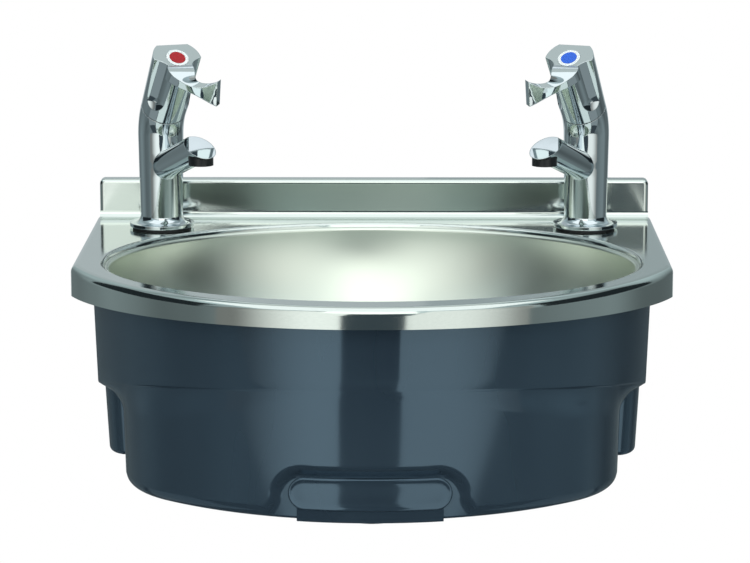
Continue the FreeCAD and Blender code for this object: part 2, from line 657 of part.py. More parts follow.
def waste_body():
    top = WASTE_SEAL + WASTE_FLANGE
    tail = cylinder(WASTE_TAIL_R, WASTE_SEAL - WASTE_LENGTH, WASTE_SEAL + WASTE_FLANGE / 2)
    dish = Part.makeCone(WASTE_FLANGE_R, WASTE_FLANGE_R - WASTE_FLANGE, WASTE_FLANGE, V(0, 0, WASTE_SEAL))
    tail = tail.cut(relief(WASTE_TAIL_R, WASTE_SEAL - WASTE_LENGTH + WASTE_FREE))
    body = tail.fuse(dish)
    body = body.cut(cylinder(WASTE_BORE_R, -2 * WASTE_LENGTH, top + 1))
    return on_waste(body.cut(cylinder(STRAINER_R + FIT, top - STRAINER - 0.6, top + 1)).removeSplitter())


def waste_strainer():
    seat = WASTE_SEAL + WASTE_FLANGE - STRAINER - 0.6
    plate = cylinder(STRAINER_R, seat, seat + STRAINER)
    holes = [cylinder(STRAINER_HOLE_R, seat - 1, seat + STRAINER + 1)]
    for radius, count in STRAINER_RINGS:
        for k in range(count):
            angle = 2 * math.pi * k / count
            holes.append(at(holes[0], radius * math.cos(angle), radius * math.sin(angle)))
    return on_waste(plate.cut(holes))


def waste_upper_seal():
    return on_waste(ring(WASTE_FLANGE_R - 1, WASTE_TAIL_R + FIT, 0, WASTE_SEAL))


def waste_lower_seal():
    return on_waste(ring(WASTE_FLANGE_R, WASTE_TAIL_R + FIT, -BOWL_SHEET - LOWER_SEAL, -BOWL_SHEET))


def waste_backnut():
    top = -BOWL_SHEET - LOWER_SEAL
    return on_waste(hexagon(WASTE_NUT_FLATS, top - WASTE_NUT, top).cut(
        cylinder(WASTE_TAIL_R + FIT, top - 2 * WASTE_NUT, top + 1)))


# Middle of the open joint between a tap's body and its handle, in front of and above the tap hole
SEAM_OUT = ELBOW_R * (1 - math.cos(math.radians(LEAN)))
SEAM_UP = ELBOW_Z + ELBOW_R * math.sin(math.radians(LEAN))


def on_head(shape):
    """Head pieces are drawn up Z from the joint, then leaned forwards onto the barrel."""
    return at(turned(shape, LEAN, V(1, 0, 0)), 0, -SEAM_OUT, SEAM_UP)


def on_deck(shape, side):
    """A left-hand tap piece, turned towards the bowl and set on the deck; the right is its mirror."""
    placed = at(turned(shape, TAP_TURN, V(0, 0, 1)), -TAP_X, TAP_Y, RIM_Z)
    return placed if side < 0 else placed.mirror(V(0, 0, 0), V(1, 0, 0))


def along_spout(shape):
    """A shape drawn up Z, laid along the spout's axis from the column."""
    return at(turned(shape, 90 - SPOUT_RISE, V(1, 0, 0)), 0, 0, SPOUT_Z)


def tap_foot():
    """Round foot that flares up into the column."""
    rise = TAP_SEAL + FOOT_THICK
    lift = FOOT_R - COLUMN_FOOT_R
    flare = Part.Arc(V(FOOT_R, 0, rise), V(COLUMN_FOOT_R + 0.30 * lift, 0, rise + 0.24 * FOOT_FLARE),
                     V(COLUMN_FOOT_R, 0, rise + FOOT_FLARE))
    edges = [flare.toShape()] + chain(V(COLUMN_FOOT_R, 0, rise + FOOT_FLARE), V(0, 0, rise + FOOT_FLARE),
                                      V(0, 0, TAP_SEAL), V(FOOT_R, 0, TAP_SEAL), V(FOOT_R, 0, rise))
    return spun(Part.__sortEdges__(edges))


def spout():
    """Rising tube with a sloping oval end face."""
    tube = along_spout(cylinder(SPOUT_R, 0, 2 * SPOUT_REACH))
    face_z = SPOUT_Z + SPOUT_REACH * tan_deg(SPOUT_RISE)
    above = box(-LARGE, LARGE, -LARGE, LARGE, 0, LARGE)
    above = at(turned(above, SPOUT_FACE_SLOPE, V(1, 0, 0)), 0, -SPOUT_REACH, face_z)
    return tube.cut(above)


def tap_body():
    column = Part.makeCone(COLUMN_FOOT_R, BARREL_R, ELBOW_Z - TAP_SEAL, V(0, 0, TAP_SEAL))
    disc = Part.Face(Part.Wire(Part.makeCircle(BARREL_R, V(0, 0, ELBOW_Z))))
    elbow = disc.revolve(V(0, -ELBOW_R, ELBOW_Z), V(1, 0, 0), LEAN)
    tail = cylinder(TAIL_R, -TAIL_LENGTH, TAP_SEAL + 1).cut(relief(TAIL_R, TAIL_FREE - TAIL_LENGTH))
    body = column.fuse([elbow, tap_foot(), spout(), tail])
    chamber = on_head(cylinder(CARTRIDGE_R + FIT, -CARTRIDGE_DEPTH - SEAT_SEAL, 1))
    feed_top = SEAM_UP - (CARTRIDGE_DEPTH + SEAT_SEAL) * math.cos(math.radians(LEAN))
    feed = cylinder(TAIL_BORE_R, -2 * TAIL_LENGTH, feed_top - SPOUT_R)
    seat = on_head(cylinder(SEAT_BORE_R, -CARTRIDGE_DEPTH - SPOUT_R, 0))
    reach = (OUTLET_REACH - OUTLET_R + 2 * WATERWAY_LAP) / math.cos(math.radians(SPOUT_RISE))
    run = at(along_spout(cylinder(SPOUT_BORE_R, 0, reach)), 0, 0, -SPOUT_BORE_DROP)
    outlet = cylinder(OUTLET_R + FIT, 0, OUTLET_TOP, 0, -OUTLET_REACH)
    return body.cut([chamber, feed, seat, run, outlet]).removeSplitter()


def tap_seal():
    return ring(FOOT_R - 2, TAIL_R + FIT, 0, TAP_SEAL)


def tap_washer():
    return ring(WASHER_R, TAIL_R + FIT, -SHEET - WASHER_THICK, -SHEET)


def tap_backnut():
    top = -SHEET - WASHER_THICK
    return hexagon(NUT_FLATS, top - NUT_THICK, top).cut(cylinder(TAIL_R + FIT, -TAIL_LENGTH, 0))


def outlet_insert():
    """Flow straightener in the underside of the spout."""
    rim = ring(OUTLET_R, OUTLET_BORE_R, OUTLET_Z, OUTLET_TOP - FIT)
    cross = box(-OUTLET_BORE_R, OUTLET_BORE_R, -0.5, 0.5, OUTLET_Z + 2, OUTLET_TOP - 2)
    star = cross.fuse(turned(cross, 90, V(0, 0, 1)))
    return at(rim.fuse(star).removeSplitter(), 0, -OUTLET_REACH)


def disc_ports(z0, z1):
    return [cylinder(DISC_PORT_R, z0, z1, side * DISC_PORT_OFFSET) for side in (-1, 1)]


DISC_FLOOR = -CARTRIDGE_DEPTH + CARTRIDGE_WALL
TURNING_FLOOR = DISC_FLOOR + DISC_THICK + RUN_GAP
SPINDLE_FLOOR = TURNING_FLOOR + DISC_THICK


def cartridge():
    """Housing that holds the discs, open below for the water."""
    bore = DISC_R + FIT
    shell = cylinder(CARTRIDGE_R, -CARTRIDGE_DEPTH, CARTRIDGE_RISE)
    shell = shell.cut(cylinder(bore, DISC_FLOOR, CARTRIDGE_RISE - CARTRIDGE_WALL))
    shell = shell.cut(cylinder(SPINDLE_R + FIT, 0, CARTRIDGE_RISE + 1))
    return shell.cut(cylinder(SEAT_BORE_R, -2 * CARTRIDGE_DEPTH, DISC_FLOOR + 1))


def seat_seal():
    low = -CARTRIDGE_DEPTH - SEAT_SEAL
    return ring(CARTRIDGE_R - 0.5, SEAT_BORE_R + 0.5, low, -CARTRIDGE_DEPTH)


def fixed_disc():
    top = DISC_FLOOR + DISC_THICK
    return cylinder(DISC_R, DISC_FLOOR, top).cut(disc_ports(DISC_FLOOR - 1, top + 1))


def turning_disc():
    top = TURNING_FLOOR + DISC_THICK
    disc = cylinder(DISC_R, TURNING_FLOOR, top).cut(disc_ports(TURNING_FLOOR - 1, TURNING_FLOOR + DISC_THICK / 2))
    return turned(disc, 90, V(0, 0, 1))


def spindle():
    foot = cylinder(SPINDLE_FOOT_R, SPINDLE_FLOOR, SPINDLE_FLOOR + SPINDLE_FOOT)
    stem = cylinder(SPINDLE_R, SPINDLE_FLOOR, SPINDLE_TOP)
    bore = cylinder(HANDLE_SCREW_R, SPINDLE_TOP - HANDLE_SCREW_LENGTH, SPINDLE_TOP + 1)
    return foot.fuse(stem).cut(bore).removeSplitter()


def gland_nut():
    """Nut that holds the cartridge down in the barrel."""
    skirt = cylinder(GLAND_R, 0, GLAND_THICK / 2)
    nut = skirt.fuse(hexagon(GLAND_FLATS, 0, CARTRIDGE_RISE + GLAND_THICK - 1))
    nut = nut.cut(cylinder(CARTRIDGE_R + FIT, -1, CARTRIDGE_RISE))
    return nut.cut(cylinder(SPINDLE_R + 0.5, 0, 2 * LARGE)).removeSplitter()


def lever_section(upper, lower, half, turn):
    """Four-cornered section of the lever, from its upper and lower edges."""
    across = V(half * math.cos(math.radians(turn)), half * math.sin(math.radians(turn)), 0)
    top = V(upper[0], -upper[1], HANDLE_LENGTH + upper[2])
    low = V(lower[0], -lower[1], HANDLE_LENGTH + lower[2])
    points = [low - across, low + across, top + across, top - across]
    return Part.makePolygon(points + points[:1])


def scallop(side):
    """Round-ended scoop down one flank of the handle."""
    run = 2 * HANDLE_LENGTH
    scoop = Part.makeCylinder(SCALLOP_R, run, V(0, 0, SCALLOP_END - HANDLE_LENGTH))
    scoop = scoop.fuse(Part.makeSphere(SCALLOP_R, V(0, 0, SCALLOP_END - HANDLE_LENGTH)))
    scoop = turned(scoop, -SCALLOP_LEAN, V(1, 0, 0))
    scoop = at(scoop, 0, -SCALLOP_WALL - SCALLOP_R, HANDLE_LENGTH)
    return turned(scoop, side * SCALLOP_TURN, V(0, 0, 1))


def handle():
    """Leaning head with a flat top, a scalloped flank each side and a flared lever."""
    head = Part.makeCone(BARREL_R, HANDLE_TOP_R, HANDLE_LENGTH - SEAM, V(0, 0, SEAM))
    head = head.cut(box(-LARGE, LARGE, HANDLE_BACK, LARGE, HANDLE_LENGTH / 2, LARGE).common(
        turned(box(-LARGE, LARGE, HANDLE_BACK, LARGE, -LARGE, LARGE), -BACK_LEAN, V(1, 0, 0),
               V(0, HANDLE_BACK, HANDLE_LENGTH))))
    head = head.cut([scallop(-1), scallop(1)])
    lever = Part.makeLoft([lever_section(*row) for row in LEVER_SECTIONS], True, False)
    grip = head.fuse(lever).removeSplitter()
    grip = grip.cut(cylinder(HANDLE_CAVITY_R, -1, HANDLE_CAVITY))
    grip = grip.cut(cylinder(SPINDLE_R + FIT, 0, SPINDLE_TOP + SCREW_CLEAR))
    grip = grip.cut(cylinder(HANDLE_SCREW_R + SCREW_CLEAR, 0, HANDLE_LENGTH))
    seat = SPINDLE_TOP + HANDLE_SCREW_SEAT
    grip = grip.cut(cylinder(HANDLE_SCREW_HEAD_R + SCREW_CLEAR, seat, HANDLE_LENGTH))
    return grip.cut(cylinder(BADGE_R + FIT, HANDLE_LENGTH - BADGE_DEPTH, LARGE))


def handle_screw():
    seat = SPINDLE_TOP + HANDLE_SCREW_SEAT
    head = cylinder(HANDLE_SCREW_HEAD_R, seat, seat + HANDLE_SCREW_HEAD)
    shank = cylinder(HANDLE_SCREW_R - FIT, seat - HANDLE_SCREW_LENGTH, seat)
    slot = box(-LARGE, LARGE, -0.5, 0.5, seat + HANDLE_SCREW_HEAD / 2, LARGE)
    return head.fuse(shank).cut(slot).removeSplitter()


def badge_ring():
    low = HANDLE_LENGTH - BADGE_DEPTH
    return ring(BADGE_R, DISC_COLOUR_R + FIT, low, HANDLE_LENGTH + DISC_COLOUR_RISE / 2)


def badge_disc():
    low = HANDLE_LENGTH - BADGE_DEPTH
    return cylinder(DISC_COLOUR_R, low, HANDLE_LENGTH + DISC_COLOUR_RISE)


def export(name, shape):
    shape.exportStep(os.path.join("parts", name + ".step"))


def basin_pieces():
    return {
        "deck": deck(), "bowl": bowl(), "apron": apron(), "clip_plate": clip_plate(),
        "left_apron_bracket": apron_bracket(-1), "right_apron_bracket": apron_bracket(1),
        "apron_screws": apron_screws(), "waste_body": waste_body(), "waste_strainer": waste_strainer(),
        "waste_upper_seal": waste_upper_seal(), "waste_lower_seal": waste_lower_seal(),
        "waste_backnut": waste_backnut(),
    }


def tap_pieces():
    """Left-hand tap: its fixed pieces, and those that turn with the lever."""
    fixed = {
        "tap_body": tap_body(), "tap_seal": tap_seal(), "tap_washer": tap_washer(),
        "tap_backnut": tap_backnut(), "outlet_insert": outlet_insert(), "cartridge": on_head(cartridge()),
        "seat_seal": on_head(seat_seal()), "fixed_disc": on_head(fixed_disc()),
        "gland_nut": on_head(gland_nut()),
    }
    turning = {
        "turning_disc": turning_disc(), "spindle": spindle(), "handle": handle(),
        "handle_screw": handle_screw(), "badge_ring": badge_ring(), "badge_disc": badge_disc(),
    }
    lever = {name: on_head(shape) for name, shape in turning.items()}
    return {**fixed, **lever}


def main():
    os.makedirs("parts", exist_ok=True)
    for name, shape in basin_pieces().items():
        export(name, shape)
    tap = tap_pieces()
    for prefix, side in (("hot", -1), ("cold", 1)):
        for name, shape in tap.items():
            export(f"{prefix}_{name}", on_deck(shape, side))


main()
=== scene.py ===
"""Looks for a wall-hung hand basin: satin steel top, moulded apron, chrome lever taps.

The frame is in metres, +Z up, the wall is the plane Y = 0 and the basin faces -Y. Shapes are written in
millimetres, with heights measured from the rim, which lies RIM above the origin.
"""
import json
import math

import bpy
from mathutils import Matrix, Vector


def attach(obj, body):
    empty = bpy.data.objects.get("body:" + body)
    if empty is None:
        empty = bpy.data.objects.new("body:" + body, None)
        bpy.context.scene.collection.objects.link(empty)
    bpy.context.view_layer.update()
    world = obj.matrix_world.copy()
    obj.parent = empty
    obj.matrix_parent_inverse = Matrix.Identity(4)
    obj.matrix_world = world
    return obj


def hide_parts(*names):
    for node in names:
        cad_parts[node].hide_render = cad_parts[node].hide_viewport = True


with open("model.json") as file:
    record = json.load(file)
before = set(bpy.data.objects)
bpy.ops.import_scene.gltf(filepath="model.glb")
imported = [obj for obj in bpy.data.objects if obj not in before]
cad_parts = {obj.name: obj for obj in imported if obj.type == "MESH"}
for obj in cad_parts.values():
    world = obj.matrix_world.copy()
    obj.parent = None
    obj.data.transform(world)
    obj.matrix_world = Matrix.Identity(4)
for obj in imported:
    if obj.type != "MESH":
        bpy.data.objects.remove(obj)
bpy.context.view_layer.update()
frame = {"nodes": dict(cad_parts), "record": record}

MM = 0.001
RIM = 45.0
WHITE = (1.0, 1.0, 1.0, 1.0)
QUARTER = math.radians(90)


# Colour and material tools

def colour(code):
    """sRGB hex to a linear colour with alpha."""
    channels = [int(code[i:i + 2], 16) / 255 for i in (1, 3, 5)]
    return tuple(c / 12.92 if c <= 0.04045 else ((c + 0.055) / 1.055) ** 2.4 for c in channels) + (1.0,)


def add(tree, kind, links=None, **settings):
    """One node with its settings; links maps an input to a value or to another node's output."""
    made = tree.nodes.new(kind)
    for name, value in settings.items():
        setattr(made, name, value)
    for key, value in (links or {}).items():
        if isinstance(value, bpy.types.NodeSocket):
            tree.links.new(value, made.inputs[key])
        else:
            made.inputs[key].default_value = value
    return made


def blank(name):
    """A new material without nodes."""
    made = bpy.data.materials.new(name)
    made.use_nodes = True
    made.node_tree.nodes.clear()
    return made, made.node_tree


def start(name, code, **sockets):
    """A new material with one surface shader, its constant sockets set by name."""
    made, tree = blank(name)
    shader = add(tree, "ShaderNodeBsdfPrincipled", {"Base Color": colour(code)})
    for key, value in sockets.items():
        shader.inputs[key.replace("_", " ").title().replace("Ior", "IOR")].default_value = value
    add(tree, "ShaderNodeOutputMaterial", {"Surface": shader.outputs[0]})
    return made, tree, shader


def grain(tree, size_mm, stretch=(1.0, 1.0, 1.0), detail=4.0):
    """Noise whose grain is a real size, drawn out along an axis where the stretch is small."""
    where = add(tree, "ShaderNodeTexCoord")
    scaled = add(tree, "ShaderNodeMapping", {"Vector": where.outputs["Object"], "Scale": stretch})
    noise = add(tree, "ShaderNodeTexNoise",
                {"Vector": scaled.outputs[0], "Scale": 1.0 / (size_mm * MM), "Detail": detail})
    return noise.outputs["Fac"]


def spread(tree, fac, low, high):
    """Noise mapped onto a range of values; most of the noise lies in its middle half."""
    return add(tree, "ShaderNodeMapRange", {"Value": fac, "From Min": 0.25, "From Max": 0.75,
                                            "To Min": low, "To Max": high}).outputs[0]


def ramp(tree, value, first, last, low, high):
    """A value eased from low to high between two places."""
    return add(tree, "ShaderNodeMapRange",
               {"Value": value, "From Min": first, "From Max": last, "To Min": low, "To Max": high},
               interpolation_type="SMOOTHSTEP").outputs[0]


def blend(tree, fac, first, second):
    """A colour between two others."""
    mix = add(tree, "ShaderNodeMix", {"Factor": fac}, data_type="RGBA")
    mix.inputs[6].default_value = first
    mix.inputs[7].default_value = second
    return mix.outputs[2]


def rough(tree, shader, fac, low, high):
    """Uneven roughness."""
    tree.links.new(spread(tree, fac, low, high), shader.inputs["Roughness"])


def mottle(tree, shader, fac, code_a, code_b):
    """Uneven colour."""
    tree.links.new(blend(tree, fac, colour(code_a), colour(code_b)), shader.inputs["Base Color"])


def bump(tree, shader, height, depth_mm, strength):
    """Fine relief of a real depth."""
    made = add(tree, "ShaderNodeBump", {"Height": height, "Distance": depth_mm * MM, "Strength": strength})
    tree.links.new(made.outputs[0], shader.inputs["Normal"])


# Materials

def brushed_stainless():
    """Stainless sheet brushed from side to side: fine scratches along X that smear reflections upright."""
    made, tree, shader = start("brushed_stainless", "#D3DAD6", metallic=1.0)
    # scratches are drawn coarser than real grit, so that they show
    lines = grain(tree, size_mm=0.5, stretch=(0.015, 1.0, 1.0), detail=3.0)
    patches = grain(tree, size_mm=60.0, stretch=(0.3, 1.0, 1.0), detail=2.0)
    rough(tree, shader, patches, low=0.08, high=0.12)
    mottle(tree, shader, lines, "#CCD4D0", "#D9DFDB")
    bump(tree, shader, lines, depth_mm=0.012, strength=0.35)
    return made


def satin_bowl_steel():
    """Deep-drawn stainless with a satin polish: soft broad reflections, a little cloudy."""
    made, tree, shader = start("satin_bowl_steel", "#E2E8DE", metallic=1.0)
    cloud = grain(tree, size_mm=45.0, detail=1.5)
    rough(tree, shader, cloud, low=0.28, high=0.34)
    mottle(tree, shader, cloud, "#DEE4DA", "#E6ECE2")
    return made


def bright_chrome():
    """Chromium plate over polished brass: a mirror with faint dull patches and edges eased by polishing."""
    made, tree, shader = start("bright_chrome", "#D3DBDE", metallic=1.0)
    patches = grain(tree, size_mm=9.0)
    rough(tree, shader, patches, low=0.025, high=0.06)
    edge_round = 0.7 * MM
    eased_edge = add(tree, "ShaderNodeBevel", {"Radius": edge_round}, samples=6)
    tree.links.new(eased_edge.outputs[0], shader.inputs["Normal"])
    return made


def gloss_abs():
    """Injection-moulded slate ABS: dark and glossy, with slow ripples in the reflections from shrinkage."""
    made, tree, shader = start("gloss_abs", "#252F38", ior=1.58, specular_ior_level=1.0,
                               specular_tint=colour("#BFE4FF"))
    ripple = grain(tree, size_mm=26.0, stretch=(1.0, 1.0, 0.25), detail=1.5)
    rough(tree, shader, ripple, low=0.06, high=0.11)
    mottle(tree, shader, ripple, "#232D36", "#27323B")
    bump(tree, shader, ripple, depth_mm=0.25, strength=0.25)
    return made


def turned_brass():
    """Machined brass: warm metal with fine turning marks."""
    made, tree, shader = start("turned_brass", "#C9A45A", metallic=1.0)
    marks = grain(tree, size_mm=0.7, stretch=(0.1, 0.1, 1.0), detail=2.0)
    rough(tree, shader, marks, low=0.20, high=0.34)
    mottle(tree, shader, marks, "#BC9549", "#D2AF68")
    return made


def zinc_plate():
    """Bright zinc on steel: pale metal with a blotchy crystalline bloom."""
    made, tree, shader = start("zinc_plate", "#B4B8BA", metallic=1.0)
    bloom = grain(tree, size_mm=3.0, detail=6.0)
    rough(tree, shader, bloom, low=0.28, high=0.46)
    mottle(tree, shader, bloom, "#A4A9AC", "#C2C5C6")
    return made


def moulded(name, dark, light, sheen):
    """A plain moulding: slightly mottled, with a fine spark-eroded texture about a mean roughness."""
    made, tree, shader = start(name, dark)
    texture = grain(tree, size_mm=1.2, detail=5.0)
    swing = 0.06
    rough(tree, shader, texture, sheen - swing, sheen + swing)
    mottle(tree, shader, texture, dark, light)
    bump(tree, shader, texture, depth_mm=0.03, strength=0.3)
    return made


FINISH = {
    "satin_steel": brushed_stainless(),
    "chrome": bright_chrome(),
    "slate_plastic": gloss_abs(),
    "plated_steel": zinc_plate(),
    "brass": turned_brass(),
    "black_rubber": moulded("nitrile_rubber", "#17181A", "#212224", 0.62),
    "white_nylon": moulded("white_nylon", "#D6D5CF", "#E0DFDA", 0.45),
    "black_plastic": moulded("black_acetal", "#0B0C0F", "#131418", 0.38),
    "disc_ceramic": moulded("alumina_ceramic", "#E6E4DD", "#EFEDE8", 0.22),
    "pale_plastic": moulded("pale_ring_plastic", "#D9DDDC", "#E4E7E6", 0.22),
    "red_plastic": moulded("red_lacquer", "#9A0210", "#A30516", 0.20),
    "blue_plastic": moulded("blue_lacquer", "#1F58C4", "#2761CF", 0.20),
}
BOWL_STEEL = satin_bowl_steel()

for part in frame["record"]["subparts"]:
    node = frame["nodes"][part["node"]]
    finish = BOWL_STEEL if part["node"] == "bowl" else FINISH[part["material_slot"]]
    node.data.materials.clear()
    node.data.materials.append(finish)


# Mesh tools

def place(x, y, z):
    """A point in millimetres, its height measured from the rim, as metres in the frame."""
    return (x * MM, y * MM, (z + RIM) * MM)


def link(name, data):
    """A new object in the scene."""
    obj = bpy.data.objects.new(name, data)
    bpy.context.collection.objects.link(obj)
    return obj


def piece(name, points, faces, finish, body, sharp):
    """A mesh that rides on a body, smooth but for edges sharper than an angle in degrees."""
    mesh = bpy.data.meshes.new(name)
    mesh.from_pydata([place(*p) for p in points], [], faces)
    mesh.validate()
    mesh.materials.append(finish)
    obj = link(name, mesh)
    mesh.polygons.foreach_set("use_smooth", [True] * len(mesh.polygons))
    mesh.set_sharp_from_angle(angle=math.radians(sharp))
    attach(obj, body)
    return obj


def thicken(obj, name, wall):
    """Gives a sheet its thickness, inwards from the drawn face."""
    solid = obj.modifiers.new(name, "SOLIDIFY")
    solid.thickness = wall * MM
    solid.offset = -1.0


def steps(low, high, count):
    """Evenly spaced values with both ends."""
    return [low + (high - low) * k / count for k in range(count + 1)]


def share(u, low, high):
    """How far a value lies from one place to another, as a part of one."""
    return (u - low) / (high - low)


def eased(t):
    """Part of one with a soft start and end, held at 0 and 1 outside."""
    t = min(max(t, 0.0), 1.0)
    return t * t * (3 - 2 * t)


# Apron: a band, a sweep under it, a round-fronted belly and the box behind it, drawn as columns round it

DECK_HALF = 192.5            # half the deck's width
DECK_DEEP = 330.0            # from the wall to the deck's front
ARC_RISE = 142.0             # depth of the deck's front arc
ARC_R = (DECK_HALF ** 2 + ARC_RISE ** 2) / (2 * ARC_RISE)
ARC_Y = ARC_R - DECK_DEEP
BAND_INSET = 13.4
BAND_DRAFT = math.tan(math.radians(2.2))
BAND_EDGE = 1.4              # round along the band's lower edge
EDGE_SHARE = 0.4             # most of the sweep's width that this round may take
LEDGE_FRONT = -52.0          # height of the band's lower edge at the deck's front
LEDGE_RISE = 25.0            # how far it rises over the depth of the arc
LEDGE_SLOPE = LEDGE_RISE / ARC_RISE
LEDGE_SOUNDING = -65.0       # height at which the band's plan is read to find its lower edge
BELLY_INSET = 14.0
BELLY_HALF = 160.8
BELLY_R = ARC_R
BELLY_Y = BELLY_R + BELLY_INSET - DECK_DEEP
BELLY_CORNER = 83.0
BELLY_DRAFT = math.tan(math.radians(1.6))
BELLY_FOOT = -137.2
BELLY_EDGE = 7.4             # round under the belly's foot
BOX_HALF = 179.0
BOX_DRAFT = math.tan(math.radians(3.0))
BOX_FRONT = -176.0
BOX_FOOT = -129.0
BOX_EDGE = 2.0
BOX_DEEP = 22.0              # how far back the round of the box's front corner starts
COVE_ROUND = 2.5             # hollow corner between the box and the belly's side
COVE_BOX = 7.0               # height of the sweep under the band: on the box
COVE_CORNER = 19.0           # round the belly's corners
COVE_FRONT = 4.0             # at the front
FOOT_RETURN = (2.0, 5.0)     # how far the foot runs on inwards after its round
REAR = -1.0
TOP = -1.2
APRON_WALL = 2.5

# Where each stretch of the outline ends, as a place along it: 0 to 1 is the side, 1 to 2 runs to the front
BOX_TURN, HOLLOW, BELLY_SIDE, BELLY_TURN = 1.06, 1.10, 1.15, 1.50
FINE_FRONT, COVE_END, FRONT = 1.70, 1.92, 2
ARC_BEND = math.radians(44)  # angle from the front at which the band passes the end of the belly's turn
NUDGE = 0.001                # small move along the outline, to find its direction

# Columns on each stretch, and rows on each part of a column
SIDE_COLUMNS, STEP_COLUMNS, TURN_COLUMNS, ARC_COLUMNS, FRONT_COLUMNS = 14, 30, 40, 24, 110
BAND_ROWS, EDGE_ROWS, COVE_ROWS, WALL_ROWS, FOOT_ROWS = 8, 4, 16, 60, 12


def ledge_z(y):
    """Height of the band's lower edge, which rises towards the front."""
    return LEDGE_FRONT - LEDGE_SLOPE * (y + DECK_DEEP)


def band_point(u, z):
    """Band's outer face: along the left side, then round the arc to the front."""
    inset = BAND_INSET + (TOP - z) * BAND_DRAFT
    half = DECK_HALF - inset
    radius = ARC_R - inset
    turn = math.asin(half / radius)
    corner = ARC_Y - radius * math.cos(turn)
    if u <= 1:
        return -half, REAR + (corner - REAR) * u
    if u <= BELLY_TURN:
        angle = turn + (ARC_BEND - turn) * share(u, 1, BELLY_TURN)
    else:
        angle = ARC_BEND * share(u, FRONT, BELLY_TURN)
    return -radius * math.sin(angle), ARC_Y - radius * math.cos(angle)


def belly_radius(z):
    """Radius of the belly's front, which draws in downwards."""
    return BELLY_R - (TOP - z) * BELLY_DRAFT


def lower_point(u, z):
    """Box's side, its round front corner, the hollow step to the belly, then the belly's side and front."""
    drop = (TOP - z) * BELLY_DRAFT
    half = BOX_HALF - (TOP - z) * BOX_DRAFT
    front = BOX_FRONT + drop
    side = BELLY_HALF - drop
    if u <= 1:
        return -half, REAR + (front + BOX_DEEP - REAR) * u
    if u <= BOX_TURN:
        a = QUARTER * share(u, 1, BOX_TURN)
        wide = half - side - COVE_ROUND
        return wide * (1 - math.cos(a)) - half, front + BOX_DEEP * (1 - math.sin(a))
    if u <= HOLLOW:
        a = QUARTER * share(u, BOX_TURN, HOLLOW)
        return -side - COVE_ROUND * (1 - math.sin(a)), front - COVE_ROUND * (1 - math.cos(a))
    radius = belly_radius(z)
    corner = BELLY_CORNER - drop
    reach = radius - corner
    fall = math.sqrt(reach ** 2 - (side - corner) ** 2)
    turn = math.atan2(side - corner, fall)
    if u <= BELLY_SIDE:
        t = share(u, HOLLOW, BELLY_SIDE)
        low = front - COVE_ROUND
        return -side, low + t * (BELLY_Y - fall - low)
    if u <= BELLY_TURN:
        a = (QUARTER - turn) * share(u, BELLY_SIDE, BELLY_TURN)
        return corner - side - corner * math.cos(a), BELLY_Y - fall - corner * math.sin(a)
    angle = turn * share(u, FRONT, BELLY_TURN)
    return -radius * math.sin(angle), BELLY_Y - radius * math.cos(angle)


def foot_z(u):
    """Lower edge: the box ends above the belly."""
    return BOX_FOOT + (BELLY_FOOT - BOX_FOOT) * eased(share(u, BOX_TURN, HOLLOW))


def foot_round(u):
    """Round under the foot: small on the box, full under the belly."""
    return BOX_EDGE + (BELLY_EDGE - BOX_EDGE) * eased(share(u, BOX_TURN, BELLY_SIDE))


def cove_drop(u):
    """Height of the sweep under the band: low at the front, high round the belly's corners."""
    if u <= BELLY_TURN:
        return COVE_BOX + (COVE_CORNER - COVE_BOX) * eased(share(u, 1, HOLLOW))
    return COVE_FRONT + (COVE_CORNER - COVE_FRONT) * eased(share(u, COVE_END, BELLY_TURN))


ARCH_HALF = 58.5
ARCH_HEIGHT = 31.4
ARCH_SHOULDER = 17.0
ARCH_DEPTH = 3.4
ARCH_SLOPE = 7.0             # width of the recess's sloping wall
ARCH_FLARE = 6.0             # how far each leg of the arch spreads at the foot
ARCH_FLARE_HEIGHT = 20.0
ARCH_REGION = (-250.0, -90.0)    # the recess lies in front of this place and below this height


def arch_depth(x, z):
    """Depth of the arched recess at the foot of the belly, with round shoulders and a soft edge."""
    flare = ARCH_FLARE * (1 - eased((z - BELLY_FOOT) / ARCH_FLARE_HEIGHT)) ** 2
    dx = abs(x) - (ARCH_HALF + flare - ARCH_SHOULDER)
    dz = (z - BELLY_FOOT) - (ARCH_HEIGHT - ARCH_SHOULDER)
    outside = math.hypot(max(dx, 0.0), max(dz, 0.0)) + min(max(dx, dz), 0.0) - ARCH_SHOULDER
    return ARCH_DEPTH * eased(0.5 - outside / ARCH_SLOPE)


def recessed(x, y, z):
    """Moves a point of the belly's front back to the recess's floor, where it lies further out."""
    depth = arch_depth(x, z) if y < ARCH_REGION[0] and z < ARCH_REGION[1] else 0.0
    radius = math.hypot(x, y - BELLY_Y)
    floor = belly_radius(z) - depth
    if depth == 0.0 or radius <= floor:
        return x, y, z
    scale = floor / radius
    return x * scale, BELLY_Y + (y - BELLY_Y) * scale, z


def apron_columns():
    """Places of the columns along the left half of the outline, closest together at the recess."""
    stretches = ((0, 1, SIDE_COLUMNS), (1, BELLY_SIDE, STEP_COLUMNS),
                 (BELLY_SIDE, BELLY_TURN, TURN_COLUMNS), (BELLY_TURN, FINE_FRONT, ARC_COLUMNS),
                 (FINE_FRONT, FRONT, FRONT_COLUMNS))
    return [u for stretch in stretches for u in steps(*stretch)[:-1]] + [FRONT]


def quarter_round(radius, count):
    """Steps of a quarter round, each as the move inwards and the height left to fall."""
    turns = [math.radians(90 * k / count) for k in range(1, count + 1)]
    return [(1 - math.cos(a), radius * (1 - math.sin(a))) for a in turns]


